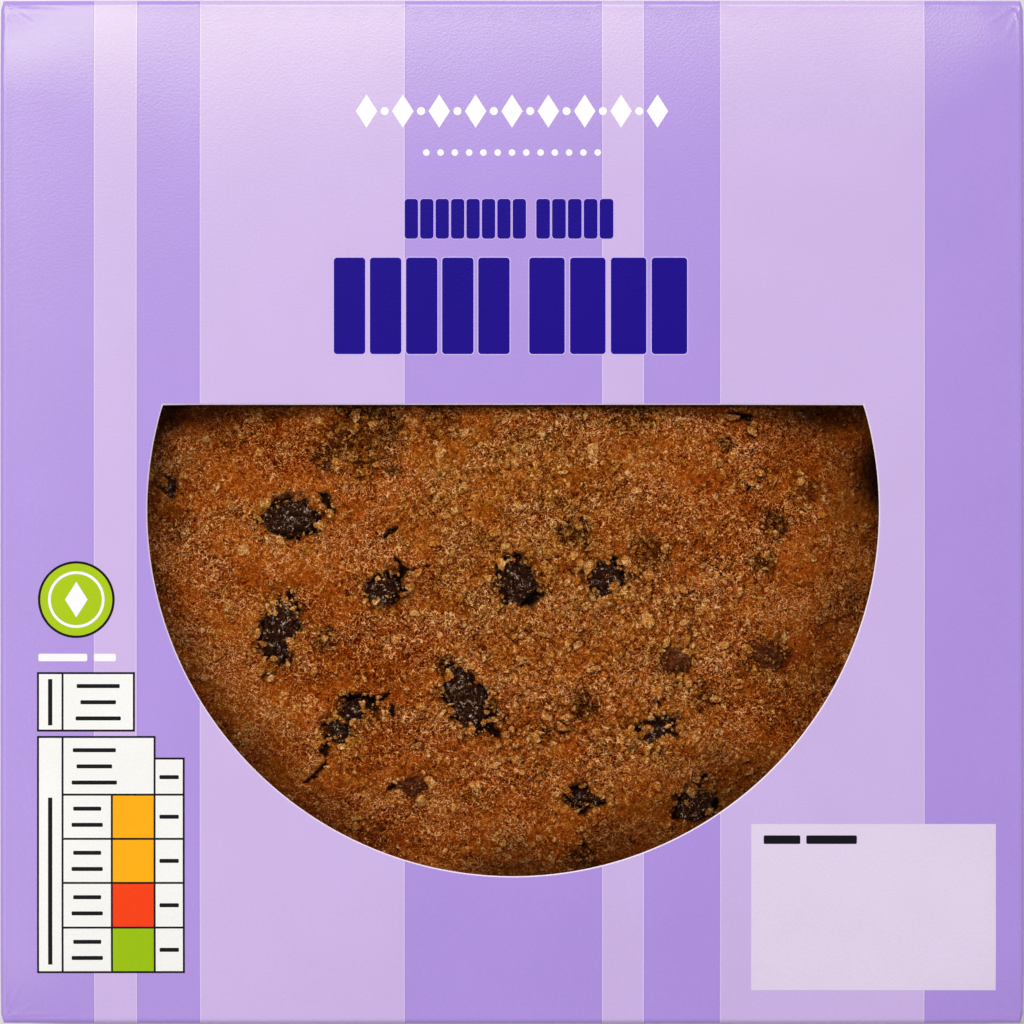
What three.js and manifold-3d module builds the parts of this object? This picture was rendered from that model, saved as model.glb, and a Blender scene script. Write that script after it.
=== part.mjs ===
// A round fruit cake in its shut, square carton. The carton is folded from one sheet of printed board. The
// cake shows through a window that is a circle with its far side cut off straight, and clear film closes the
// window from the inside. Dried fruit is sunk in the baked top of the cake.
// Millimetres, +Z up. The carton lies on its base, and the origin is the middle of that base. The window
// faces up, and its straight edge is on the +Y side.
import * as THREE from "three";
import { mergeVertices } from "three/addons/utils/BufferGeometryUtils.js";
import Module from "manifold-3d";

const wasm = await Module();
wasm.setup();

// Carton
const cartonWidth = 190; // along X, and along Y too
const cartonHeight = 62;
const boardThickness = 0.6;
const foldRadius = 1.2; // outside radius of every crease
const foldSteps = 4; // flats round a crease
const endFlapSetback = 0.9; // the glued end flap stops short of the side folds
const endFlapLift = 3; // and of the base
const endFlapCorner = 5; // round lower corners of that flap
const windowRadius = 68.3;
const windowTop = 19.9; // the straight edge, ahead of the middle
const windowSteps = 96; // flats round a full circle of the window

// Window film
const filmThickness = 0.3;
const filmLap = 7; // glued margin round the window
const gap = 0.3; // clearance between pieces that touch

// Cake
const cakeRadius = 86;
const cakePeak = 58.3; // top of the dome, over the carton's base
const domeDrop = 15; // how much lower the dome is over the rim
const domePower = 2.4; // over 2: nearly flat in the middle, steeper near the rim
const shoulderRadius = 9; // where the top turns into the side
const sideTaper = 1.5; // the cake is this much narrower at its foot
const footRadius = 2.5;
const cakeSegments = 72;
const topRings = 15;
const shoulderSteps = 4;
const sideRings = 2;
const footSteps = 2;
const unevenHeight = 0.9; // slow rise and fall of the baked top
const unevenSpacing = 19;
const cragHeight = 0.5; // quicker crags of the crust
const cragSpacing = 6.5;
const rimSwell = 0.6; // the rim and the side wander in and out by this much
const rimWaves = 5; // how fast they do so round the cake
const pitDepth = 1; // the crust dips round each piece of fruit
const pitReach = 2.2;

// Splits in the crust: points in the plan, half width and depth.
const splits = [
  { points: [[-21.4, -4.1], [-21.9, -9.1], [-20.4, -11.7], [-15.8, -9.9]], halfWidth: 1, depth: 2.2 },
  {
    points: [[-23.5, -34.1], [-29.4, -37.1], [-34.3, -43.8], [-35.6, -47.5], [-38.7, -49.5]],
    halfWidth: 1,
    depth: 2,
  },
  { points: [[10.5, -53], [16.2, -54.6]], halfWidth: 0.9, depth: 1.6 },
  { points: [[43, 19.4], [47, 17.7]], halfWidth: 1, depth: 2 },
];

// Dried fruit: [x, y, half length, half width, turn in degrees, how far its top stands over the crust].
const raisins = [
  [-40.8, -1.3, 5.9, 3.6, 12, 0.5],
  [-43.4, -22, 6.8, 3.5, 77, 0.6],
  [-24.2, -14.7, 3.8, 2.6, 15, 0.2],
  [0.8, -13, 5.1, 3.7, 97, 0.4],
  [17.5, -12.5, 3.6, 3.3, 20, 0.5],
  [-8.4, -35, 6.9, 3.7, 120, 0.3],
  [-29.4, -37.1, 3.5, 2.1, 28, 0.1],
  [-32.5, -41.4, 2.6, 2, 140, 0.3],
  [26.8, -40.8, 4.3, 2.5, 45, 0.2],
  [34.6, -54.8, 4.3, 2.8, 35, 0.1],
  [13.4, -53.4, 3.1, 1.8, 172, 0],
  [-64.3, 4.8, 2.6, 1.7, 95, 0.2],
  [-11.5, 35, 5.6, 3.5, 40, 0.4],
  [24, 49.5, 5, 3.4, 100, 0.3],
  [-47, 41, 4.6, 3.3, 150, 0.3],
  [55.5, 33, 5.2, 3.2, 70, 0.4],
];
const sultanas = [
  [30.5, -27.8, 4, 3.6, 30, 0.4],
  [48, -26.9, 3.9, 3.2, 130, 0.4],
  [-18.3, -51, 3.4, 2.8, 10, 0.5],
  [5, 66, 4.4, 3.3, 60, 0.4],
];
const fruitThickness = 0.8; // half height, as a share of the half width
const wrinkleDepth = 0.07; // as a share of the fruit's own radius
const wrinkles = 7;
const wrinkleTwist = 2; // how far the folds turn from the middle of a fruit to its tip
const largeFruit = 5; // half length from which a fruit gets finer facets

const boardColor = 0xb496e4;
const cakeColor = 0x91501f;
const raisinColor = 0x2b1a14;
const sultanaColor = 0x5a3319;
const filmColor = 0xf4f6f8;

// A closed geometry as a solid that can be cut and joined.
function solidOf(geometry) {
  const bare = geometry.index ? geometry.toNonIndexed() : geometry.clone();
  bare.deleteAttribute("normal");
  bare.deleteAttribute("uv");
  const merged = mergeVertices(bare, 1e-4);
  return new wasm.Manifold(
    new wasm.Mesh({
      numProp: 3,
      vertProperties: merged.attributes.position.array,
      triVerts: new Uint32Array(merged.index.array),
    }),
  );
}

function geometryOf(solid) {
  const mesh = solid.getMesh();
  const geometry = new THREE.BufferGeometry();
  geometry.setAttribute("position", new THREE.BufferAttribute(new Float32Array(mesh.vertProperties), 3));
  geometry.setIndex(new THREE.BufferAttribute(mesh.triVerts, 1));
  const flat = geometry.toNonIndexed();
  flat.computeVertexNormals();
  return flat;
}

// A rectangle with round corners about the origin.
function roundedRectangle(width, height, radius) {
  const x = width / 2;
  const y = height / 2;
  const shape = new THREE.Shape();
  shape.moveTo(x, -y + radius);
  shape.lineTo(x, y - radius);
  shape.absarc(x - radius, y - radius, radius, 0, Math.PI / 2, false);
  shape.lineTo(-x + radius, y);
  shape.absarc(-x + radius, y - radius, radius, Math.PI / 2, Math.PI, false);
  shape.lineTo(-x, -y + radius);
  shape.absarc(-x + radius, -y + radius, radius, Math.PI, 1.5 * Math.PI, false);
  shape.lineTo(x - radius, -y);
  shape.absarc(x - radius, -y + radius, radius, 1.5 * Math.PI, 2 * Math.PI, false);
  return shape;
}

function extruded(shape, depth, curveSegments = foldSteps) {
  const geometry = new THREE.ExtrudeGeometry(shape, { depth, bevelEnabled: false, curveSegments });
  return geometry.translate(0, 0, -depth / 2);
}

// A block about the origin whose twelve edges are all folded round: three rounded bars, crossed.
function foldedBlock(x, y, z, radius) {
  const alongZ = solidOf(extruded(roundedRectangle(x, y, radius), z));
  const alongY = solidOf(extruded(roundedRectangle(x, z, radius), y).rotateX(Math.PI / 2));
  const alongX = solidOf(extruded(roundedRectangle(z, y, radius), x).rotateY(Math.PI / 2));
  return alongZ.intersect(alongY).intersect(alongX);
}

// The window's outline, or the film's when it is grown by a margin.
function windowShape(margin) {
  const radius = windowRadius + margin;
  const top = windowTop + margin;
  const corner = Math.asin(top / radius);
  const shape = new THREE.Shape();
  shape.moveTo(-radius * Math.cos(corner), top);
  shape.absarc(0, 0, radius, Math.PI - corner, 2 * Math.PI + corner, false);
  shape.lineTo(-radius * Math.cos(corner), top);
  return shape;
}

function makeCarton() {
  const middle = cartonHeight / 2;
  const sleeve = foldedBlock(cartonWidth - 2 * boardThickness, cartonWidth, cartonHeight, foldRadius);
  const flapHeight = cartonHeight - endFlapLift;
  const flapWidth = cartonWidth - 2 * endFlapSetback;
  const foldedOver = solidOf(
    extruded(roundedRectangle(cartonWidth, 2 * flapHeight, foldRadius), flapWidth).rotateX(Math.PI / 2),
  );
  const cutOut = solidOf(
    extruded(roundedRectangle(2 * flapHeight, flapWidth, endFlapCorner), cartonWidth).rotateY(Math.PI / 2),
  );
  const endFlaps = foldedOver
    .translate([0, 0, middle - flapHeight])
    .intersect(cutOut.translate([0, 0, middle]));
  const inside = solidOf(
    new THREE.BoxGeometry(
      cartonWidth - 6 * boardThickness,
      cartonWidth - 2 * boardThickness,
      cartonHeight - 2 * boardThickness,
    ),
  );
  const window = solidOf(extruded(windowShape(0), cartonHeight, windowSteps).translate(0, 0, middle));
  return sleeve.add(endFlaps).subtract(inside).subtract(window).translate([0, 0, middle]);
}

function makeFilm() {
  const top = cartonHeight - boardThickness - gap;
  return extruded(windowShape(filmLap), filmThickness, windowSteps).translate(0, 0, top - filmThickness / 2);
}

// Smooth noise from -1 to 1 that repeats for the same seed.
function noise(x, y, seed) {
  const cellX = Math.floor(x);
  const cellY = Math.floor(y);
  const corner = (i, j) => {
    const wave = Math.sin((cellX + i) * 127.1 + (cellY + j) * 311.7 + seed * 74.7) * 43758.5453;
    return 2 * (wave - Math.floor(wave)) - 1;
  };
  const ease = (t) => t * t * (3 - 2 * t);
  const u = ease(x - cellX);
  const v = ease(y - cellY);
  const near = corner(0, 0) * (1 - u) + corner(1, 0) * u;
  const far = corner(0, 1) * (1 - u) + corner(1, 1) * u;
  return near * (1 - v) + far * v;
}

function distanceToLine(x, y, points) {
  let nearest = Infinity;
  for (let i = 0; i + 1 < points.length; i++) {
    const [ax, ay] = points[i];
    const [bx, by] = points[i + 1];
    const share = ((x - ax) * (bx - ax) + (y - ay) * (by - ay)) / ((bx - ax) ** 2 + (by - ay) ** 2);
    const t = Math.min(1, Math.max(0, share));
    nearest = Math.min(nearest, Math.hypot(x - ax - t * (bx - ax), y - ay - t * (by - ay)));
  }
  return nearest;
}

// How far a point in the plan lies outside a fruit's outline, along the fruit's own shape.
function distanceToFruit(x, y, [fx, fy, halfLength, halfWidth, turn]) {
  const angle = THREE.MathUtils.degToRad(turn);
  const along = (x - fx) * Math.cos(angle) + (y - fy) * Math.sin(angle);
  const across = (y - fy) * Math.cos(angle) - (x - fx) * Math.sin(angle);
  return Math.max(0, (Math.hypot(along / halfLength, across / halfWidth) - 1) * halfWidth);
}

// Rise and fall of the crust over the plain dome.
function relief(x, y) {
  let height = unevenHeight * noise(x / unevenSpacing, y / unevenSpacing, 1);
  height += cragHeight * noise(x / cragSpacing, y / cragSpacing, 2);
  for (const split of splits) {
    const reach = distanceToLine(x, y, split.points) / (2 * split.halfWidth);
    height -= split.depth * Math.max(0, 1 - reach * reach);
  }
  for (const fruit of [...raisins, ...sultanas]) {
    const reach = distanceToFruit(x, y, fruit) / pitReach;
    height -= pitDepth * Math.max(0, 1 - reach * reach);
  }
  return height;
}

function domeHeight(radius) {
  return cakePeak - domeDrop * (radius / cakeRadius) ** domePower;
}

// The cake's outline from the middle of its top to the middle of its base, as [radius, height] pairs.
function cakeProfile() {
  const foot = boardThickness + gap;
  const flat = cakeRadius - shoulderRadius;
  const shoulderTop = domeHeight(flat);
  const profile = [];
  for (let i = 0; i <= topRings; i++) {
    const radius = (flat * i) / topRings;
    profile.push([radius, domeHeight(radius)]);
  }
  for (let i = 1; i <= shoulderSteps; i++) {
    const angle = (Math.PI / 2) * (i / shoulderSteps);
    profile.push([
      flat + shoulderRadius * Math.sin(angle),
      shoulderTop - shoulderRadius * (1 - Math.cos(angle)),
    ]);
  }
  const sideTop = shoulderTop - shoulderRadius;
  const sideFoot = foot + footRadius;
  for (let i = 1; i <= sideRings; i++) {
    const share = i / sideRings;
    profile.push([cakeRadius - sideTaper * share, sideTop + (sideFoot - sideTop) * share]);
  }
  for (let i = 1; i <= footSteps; i++) {
    const angle = (Math.PI / 2) * (i / footSteps);
    const radius = cakeRadius - sideTaper - footRadius * (1 - Math.cos(angle));
    profile.push([radius, sideFoot - footRadius * Math.sin(angle)]);
  }
  profile.push([0, foot]);
  return profile;
}

function makeCake() {
  const profile = cakeProfile().map(([radius, height]) => new THREE.Vector2(radius, height));
  const lathe = new THREE.LatheGeometry(profile.reverse(), cakeSegments).rotateX(Math.PI / 2);
  const place = lathe.attributes.position;
  const flat = cakeRadius - shoulderRadius;
  const sideTop = domeHeight(flat) - shoulderRadius;
  for (let i = 0; i < place.count; i++) {
    const x = place.getX(i);
    const y = place.getY(i);
    const z = place.getZ(i);
    const radius = Math.hypot(x, y);
    const angle = radius > 0 ? Math.atan2(y / radius, x / radius) : 0;
    const share = Math.min(1, Math.max(0, (z - sideTop) / shoulderRadius));
    const sway = rimSwell * noise(rimWaves * Math.cos(angle), rimWaves * Math.sin(angle), 3);
    const swell = radius > flat ? sway : 0;
    const wide = radius > 0 ? 1 + swell / radius : 1;
    place.setXYZ(i, x * wide, y * wide, z + share * relief(x, y));
  }
  let cake = solidOf(lathe);
  for (const fruit of [...raisins, ...sultanas]) {
    cake = cake.subtract(solidOf(fruitGeometry(fruit, gap)));
  }
  return cake;
}

// A dried fruit: a flattened ball with folds that run along it, grown by a clearance where it cuts its seat.
function fruitGeometry([x, y, halfLength, halfWidth, turn, stand], clearance) {
  const fineness = halfLength >= largeFruit ? 2 : 1;
  const geometry = new THREE.IcosahedronGeometry(1, fineness);
  const place = geometry.attributes.position;
  const halfHeight = fruitThickness * halfWidth;
  for (let i = 0; i < place.count; i++) {
    const point = new THREE.Vector3().fromBufferAttribute(place, i);
    const around = Math.atan2(point.z, point.y);
    const fade = Math.hypot(point.y, point.z);
    const fold = 1 + wrinkleDepth * fade * Math.sin(wrinkles * around + wrinkleTwist * point.x + x);
    place.setXYZ(
      i,
      point.x * (halfLength + clearance),
      point.y * (halfWidth * fold + clearance),
      point.z * (halfHeight * fold + clearance),
    );
  }
  const surface = domeHeight(Math.hypot(x, y));
  geometry.rotateZ(THREE.MathUtils.degToRad(turn));
  return geometry.translate(x, y, surface + stand - halfHeight);
}

function makeMesh(name, geometry, color, roughness, options = {}) {
  const material = new THREE.MeshStandardMaterial({ color, roughness, metalness: 0, ...options });
  const mesh = new THREE.Mesh(geometry, material);
  mesh.name = name;
  return mesh;
}

const pack = new THREE.Group();
pack.add(makeMesh("carton", geometryOf(makeCarton()), boardColor, 0.45));
pack.add(makeMesh("window_film", makeFilm(), filmColor, 0.1, { transparent: true, opacity: 0.15 }));
pack.add(makeMesh("cake", geometryOf(makeCake()), cakeColor, 0.85));
raisins.forEach((fruit, i) => {
  pack.add(makeMesh(`raisin_${i + 1}`, fruitGeometry(fruit, 0), raisinColor, 0.5));
});
sultanas.forEach((fruit, i) => {
  pack.add(makeMesh(`sultana_${i + 1}`, fruitGeometry(fruit, 0), sultanaColor, 0.5));
});

export default pack;
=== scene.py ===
import functools
import itertools
import math

import bmesh
import bpy
import numpy as np
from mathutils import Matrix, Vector
from mathutils.geometry import delaunay_2d_cdt


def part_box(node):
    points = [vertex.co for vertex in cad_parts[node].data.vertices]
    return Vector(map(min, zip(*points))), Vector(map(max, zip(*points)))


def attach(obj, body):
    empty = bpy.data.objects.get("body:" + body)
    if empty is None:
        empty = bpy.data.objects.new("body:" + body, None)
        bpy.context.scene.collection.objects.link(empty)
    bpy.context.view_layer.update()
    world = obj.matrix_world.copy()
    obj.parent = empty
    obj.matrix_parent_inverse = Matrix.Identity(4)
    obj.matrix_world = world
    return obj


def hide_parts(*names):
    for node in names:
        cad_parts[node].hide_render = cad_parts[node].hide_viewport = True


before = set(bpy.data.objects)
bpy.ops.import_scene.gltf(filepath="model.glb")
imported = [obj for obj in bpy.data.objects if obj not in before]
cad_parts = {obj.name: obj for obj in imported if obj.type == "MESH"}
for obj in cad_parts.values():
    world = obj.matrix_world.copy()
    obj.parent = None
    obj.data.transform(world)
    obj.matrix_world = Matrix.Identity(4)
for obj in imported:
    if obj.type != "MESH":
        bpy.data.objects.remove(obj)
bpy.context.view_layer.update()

# A round fruit cake in its shut, striped carton, seen through the film of a window.
# The carton lies on its base with the window up, and the window's straight edge is towards +Y.

mm = 0.001
rng = np.random.default_rng(24)


# Tools

def toLinear(hexColour):  # sRGB hex to the linear values that shaders take
    channels = [int(hexColour[i:i + 2], 16) / 255 for i in (1, 3, 5)]
    return (*[c / 12.92 if c <= 0.04045 else ((c + 0.055) / 1.055) ** 2.4 for c in channels], 1)


def addNode(tree, kind, inputs=(), output=None, stops=(), **settings):
    # A node with its settings and links, given by its output. Inputs go by name or in the node's own order.
    node = tree.nodes.new("ShaderNode" + kind)
    for name, value in settings.items():
        setattr(node, name, value)
    for name, value in inputs.items() if isinstance(inputs, dict) else enumerate(inputs):
        if isinstance(value, bpy.types.NodeSocket):
            tree.links.new(value, node.inputs[name])
        else:
            node.inputs[name].default_value = value
    if stops:
        elements = node.color_ramp.elements
        while len(elements) < len(stops):
            elements.new(1)
        for element, (position, colour) in zip(elements, stops):
            element.position = position
            element.color = toLinear(colour)
    if output:
        return node.outputs[output]
    return next((socket for socket in node.outputs if socket.enabled), None)


def newMaterial(name):  # the material, and addNode for its nodes
    material = bpy.data.materials.new(name)
    material.use_nodes = True
    material.node_tree.nodes.clear()
    return material, functools.partial(addNode, material.node_tree)


def makePiece(name, vertices, faces, materials, faceMaterials=None, sharpFrom=None):
    mesh = bpy.data.meshes.new(name)
    mesh.vertices.add(len(vertices))
    mesh.vertices.foreach_set("co", np.asarray(vertices, np.float32).ravel())
    mesh.loops.add(faces.size)
    mesh.loops.foreach_set("vertex_index", np.asarray(faces, np.int32).ravel())
    mesh.polygons.add(len(faces))
    mesh.polygons.foreach_set("loop_start", np.arange(0, faces.size, 3, dtype=np.int32))
    if faceMaterials is not None:
        mesh.polygons.foreach_set("material_index", np.asarray(faceMaterials, np.int32))
    mesh.polygons.foreach_set("use_smooth", np.ones(len(faces), bool))
    mesh.update(calc_edges=True)
    if sharpFrom is not None:
        mesh.set_sharp_from_angle(angle=math.radians(sharpFrom))
    for material in materials:
        mesh.materials.append(material)
    piece = bpy.data.objects.new(name, mesh)
    bpy.context.scene.collection.objects.link(piece)
    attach(piece, "root")
    return piece


def trianglesOver(places, edges, slack):
    found = delaunay_2d_cdt([Vector(place) for place in places], edges, [], 0, slack)
    return np.array([tuple(place) for place in found[0]]), np.array(found[2])


def gridOf(x, y):
    return np.stack(np.meshgrid(x, y), axis=-1).reshape(-1, 2)


def triangulated(outlines, points, wanted):
    # Triangles over loose points, with the outlines kept as edges, where wanted says yes to their middles.
    places, edges = [], []
    for outline in outlines:
        first, count = len(places), len(outline)
        places += [tuple(point) for point in outline]
        edges += [(first + i, first + (i + 1) % count) for i in range(count)]
    places += [tuple(point) for point in points]
    flat, faces = trianglesOver(places, edges, 1e-7)
    a, b, c = flat[faces[:, 0]], flat[faces[:, 1]], flat[faces[:, 2]]
    area = (b[:, 0] - a[:, 0]) * (c[:, 1] - a[:, 1]) - (b[:, 1] - a[:, 1]) * (c[:, 0] - a[:, 0])
    faces[area < 0] = faces[area < 0][:, ::-1]
    middles = (a + b + c) / 3
    keep = (np.abs(area) > 1e-13) & wanted(middles)
    used, faces = np.unique(faces[keep], return_inverse=True)
    return flat[used], faces.reshape(-1, 3), middles[keep]


def walked(outline, step):  # the same outline with points no more than a step apart
    places = []
    for start, end in zip(outline, np.roll(outline, -1, axis=0)):
        count = math.ceil(np.linalg.norm(end - start) / step)
        places += [start + (end - start) * i / count for i in range(count)]
    return np.array(places)


def insideOutline(outline, points):
    inside = np.zeros(len(points), bool)
    x, y = points[:, 0], points[:, 1]
    for (ax, ay), (bx, by) in zip(outline, np.roll(outline, -1, axis=0)):
        if ay == by:
            continue
        crosses = (ay > y) != (by > y)
        inside ^= crosses & (x < (bx - ax) * (y - ay) / (by - ay) + ax)
    return inside


def rectangle(left, bottom, right, top):
    return np.array([(left, bottom), (right, bottom), (right, top), (left, top)])


def roundedRectangle(left, bottom, right, top, radius, steps=5):
    corners = ((right, top, 0), (left, top, 90), (left, bottom, 180), (right, bottom, 270))
    points = []
    for x, y, start in corners:
        cx = x - math.copysign(radius, x - (left + right) / 2)
        cy = y - math.copysign(radius, y - (bottom + top) / 2)
        for i in range(steps + 1):
            angle = math.radians(start + 90 * i / steps)
            points.append((cx + radius * math.cos(angle), cy + radius * math.sin(angle)))
    return np.array(points)


def circle(x, y, radius, steps=64):
    angles = np.arange(steps) * 2 * math.pi / steps
    return np.stack([x + radius * np.cos(angles), y + radius * np.sin(angles)], axis=1)


def thickened(outer, faces, inner):  # closes a sheet with its other side and a rim: (points, faces, kind)
    count = len(outer)
    edges = np.concatenate([faces[:, [0, 1]], faces[:, [1, 2]], faces[:, [2, 0]]])
    keys = np.sort(edges, axis=1)
    _, first, uses = np.unique(keys, axis=0, return_index=True, return_counts=True)
    a, b = edges[first[uses == 1]].T
    rim = np.concatenate([np.stack([b, a, a + count], 1), np.stack([b, a + count, b + count], 1)])
    allFaces = np.concatenate([faces, faces[:, ::-1] + count, rim])
    kind = np.repeat([0, 1, 2], [len(faces), len(faces), len(rim)])
    return np.concatenate([outer, inner]), allFaces, kind


def scrambled(cells, seed):  # a fixed random number from 0 to 1 for each whole cell
    mixed = np.full(cells.shape[:-1], 977 * seed + 101, dtype=np.uint64)
    for axis in range(cells.shape[-1]):
        mixed = (mixed + cells[..., axis].astype(np.uint64)) * np.uint64(6364136223846793005)
        mixed ^= mixed >> np.uint64(29)
    return (mixed >> np.uint64(40)).astype(float) / 2 ** 24


def rolling(points, spacing, seed):  # smooth noise from -1 to 1
    scaled = points / spacing
    base = np.floor(scaled)
    part = scaled - base
    ease = part * part * (3 - 2 * part)
    cells = base.astype(np.int64)
    total = np.zeros(len(points))
    for corner in itertools.product((0, 1), repeat=points.shape[-1]):
        weight = np.prod(np.where(corner, ease, 1 - ease), axis=-1)
        total += weight * scrambled(cells + np.array(corner), seed)
    return 2 * total - 1


def flaked(points, spacing, seed):  # broken crumb: what lies in each cell around its nearest point
    scaled = points / spacing
    offsets = np.array(list(itertools.product((-1, 0, 1), repeat=2)))
    cells = np.floor(scaled).astype(np.int64) + offsets[:, None]
    away = scaled - cells - np.stack([scrambled(cells, seed + 1), scrambled(cells, seed + 2)], axis=-1)
    distances = np.linalg.norm(away, axis=-1)
    nearest = distances.argmin(axis=0), np.arange(len(points))
    cell, (x, y) = cells[nearest], away[nearest].T
    first, second = np.partition(distances, 1, axis=0)[:2]
    turn = 2 * math.pi * scrambled(cell, seed + 3)
    slant = x * np.cos(turn) + y * np.sin(turn)
    return {"number": scrambled(cell, seed), "slant": slant, "crevice": 1 - eased(second - first, 0, 0.28)}


def eased(value, low, high):  # 0 below low, 1 above high, smooth between
    t = np.clip((value - low) / (high - low), 0, 1)
    return t * t * (3 - 2 * t)


# Camera, floor and light

view = {
    "width": 190 * mm,  # what the picture is wide at the top of the carton
    "lens": 200,
    "sensor": 36,
}
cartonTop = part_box("carton")[1][2]
cameraData = bpy.data.cameras.new("camera")
cameraData.lens = view["lens"]
cameraData.sensor_width = view["sensor"]
cameraData.clip_end = 10
camera = bpy.data.objects.new("camera", cameraData)
camera.location = (0, 0, cartonTop + view["width"] * view["lens"] / view["sensor"])
bpy.context.scene.collection.objects.link(camera)
bpy.context.scene.camera = camera
bpy.context.scene.view_settings.view_transform = "Standard"

studio = {
    "floorSize": 3,
    "floorHeight": -0.02 * mm,  # just clear of the carton's base
    "floorColour": "#E9E8EA",
    "wallLight": 0.52,
    "wallLean": 0.5,  # how much brighter the wall on the +Y side is, and how much darker the other
    "ceilingLight": 0.05,  # dark straight above, so that film and varnish don't veil what is under them
    "ceilingFrom": (0.78, 0.95),  # sines of the heights between which the walls turn into the ceiling
    "lamps": {
        # name: place, size, watts
        "windowSide": ((-0.19, 0.42, 1.2), (0.8, 0.27), 8.7),
        "overhead": ((-0.5, -0.25, 1.1), (0.5, 0.6), 2.45),
    },
}

half = studio["floorSize"] / 2
floorMesh = bpy.data.meshes.new("floor")
floorMesh.from_pydata([(*corner, 0) for corner in rectangle(-half, -half, half, half)], [], [(0, 1, 2, 3)])
floor = bpy.data.objects.new("floor", floorMesh)
floor.location.z = studio["floorHeight"]
bpy.context.scene.collection.objects.link(floor)
# Matt studio paper: even and pale, and it mirrors nothing.
paper, add = newMaterial("studio paper")
shader = add("BsdfPrincipled", {"Base Color": toLinear(studio["floorColour"]), "Roughness": 0.9})
add("OutputMaterial", [shader])
floorMesh.materials.append(paper)

for name, (place, size, watts) in studio["lamps"].items():
    lamp = bpy.data.lights.new(name, "AREA")
    lamp.shape = "RECTANGLE"
    lamp.size, lamp.size_y = size
    lamp.energy = watts
    lampObject = bpy.data.objects.new(name, lamp)
    lampObject.location = place
    lampObject.rotation_euler = (Vector((0, 0, 0.05)) - Vector(place)).to_track_quat("-Z", "Y").to_euler()
    bpy.context.scene.collection.objects.link(lampObject)

world = bpy.data.worlds.new("studio")
bpy.context.scene.world = world
world.use_nodes = True
world.node_tree.nodes.clear()
add = functools.partial(addNode, world.node_tree)
towards = add("SeparateXYZ", [add("TexCoord", output="Generated")]).node.outputs
level, lean = studio["wallLight"], studio["wallLean"]
walls = add("MapRange", [towards["Y"], -1.0, 1.0, level * (1 - lean), level * (1 + lean)])
fade = add("MapRange", [towards["Z"], *studio["ceilingFrom"], walls, studio["ceilingLight"]])
add("OutputWorld", [add("Background", [(1, 1, 1, 1), fade])])
print("studio is set")


# Carton

board = {
    "halfWidth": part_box("carton")[1][0],
    "height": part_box("carton")[1][2],
    "thickness": 0.6 * mm,
    "fold": 0.8 * mm,  # outside radius of a crease
    "foldSteps": 6,
    "panelDrop": 0.03 * mm,  # room for the ink under the carton's full height
    "bowDrop": (0.35 * mm, 1.2 * mm),  # the panel bows down to its creases across and along
    "bowReach": (22 * mm, 36 * mm),
    "cornerStiff": 18 * mm,  # near the corners it bows later
    "pinch": 0.05 * mm,  # height of the crease that runs from each corner beside the edge
    "wrinkle": 0.12 * mm,  # depth of the small creases in a corner
    "cornerTurn": 1.1,  # radians that an end flap's edge turns round the carton's corner
    "bead": 0.02 * mm,  # the board stands up along a crease
    "beadReach": 0.45 * mm,
    "flapLift": 3 * mm,
    "flapCorner": 5 * mm,
    "seam": 0.7 * mm,  # the wall without a crease at its foot ends this high
    "windowRadius": 67.9 * mm,
    "windowMiddle": np.array([0.2, 0.3]) * mm,  # the die isn't quite true to the creases
    "windowTop": 19.9 * mm,
    "cutSlope": 0.22 * mm,  # a cut edge leans this far inwards
    "cutThickness": 0.25 * mm,  # the die squeezes the board where it cuts
    "stripes": [-77.6, -69.65, -57.95, -19.9, 16.7, 24.5, 38.6, 76.6],  # mm, dark stripe first
    "stripeLap": 0.19 * mm,  # where two inks meet
    "seamLap": 0.5 * mm,
    "baseFlapReach": 0.45,  # of the height
    "baseFlapShort": 4 * mm,
    "sheetStep": 1.8 * mm, "middleStep": 5 * mm, "cornerStep": 0.4 * mm,  # between points on the sheet
    "cornerReach": 11 * mm,
}
board["flat"] = board["halfWidth"] - board["fold"]
board["flapWidth"] = board["flat"] + board["cornerTurn"] * board["fold"]
varnishTint = "#F6FFA2"


def printedBoard(name, colour, ior=1.49):
    # White-lined folding board, printed by offset and sealed with satin varnish: soft wide highlights,
    # a little warmer than the light, broken up by the unevenness of the fibres under the varnish.
    material, add = newMaterial(name)
    place = add("TexCoord", output="Object")
    fibres = add("TexNoise", {
        "Vector": place, "Scale": 1 / (0.38 * mm),  # fibre clumps are 0.1 mm, drawn coarser so that they show
        "Detail": 0.5, "Roughness": 0.5,
    })
    clouds = add("TexNoise", {"Vector": place, "Scale": 1 / (14 * mm)})
    dots = add("MapRange", [fibres, 0.3, 0.7, -0.022, 0.022])
    tint = add("MapRange", [clouds, 0.3, 0.7, 0.985, 1.015])
    level = add("Math", [dots, tint], operation="ADD")
    ink = add("HueSaturation", {"Color": toLinear(colour), "Value": level})
    bump = add("Bump", {"Height": fibres, "Strength": 0.8, "Distance": 0.019 * mm})
    shader = add("BsdfPrincipled", {
        "Base Color": ink, "Roughness": 0.27, "IOR": ior, "Normal": bump,
        "Specular Tint": toLinear(varnishTint),
    })
    add("OutputMaterial", [shader])
    return material


def rawBoard(name, colour):
    # Unprinted pulp board as it leaves the die: matt and slightly furry where it was cut.
    material, add = newMaterial(name)
    place = add("TexCoord", output="Object")
    pulp = add("TexNoise", {"Vector": place, "Scale": 1 / (0.4 * mm), "Detail": 3.0})
    level = add("MapRange", [pulp, 0.3, 0.7, 0.9, 1.05])
    tone = add("HueSaturation", {"Color": toLinear(colour), "Value": level})
    bump = add("Bump", {"Height": pulp, "Strength": 0.5, "Distance": 0.05 * mm})
    shader = add("BsdfPrincipled", {"Base Color": tone, "Roughness": 0.85, "Normal": bump})
    add("OutputMaterial", [shader])
    return material


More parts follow.
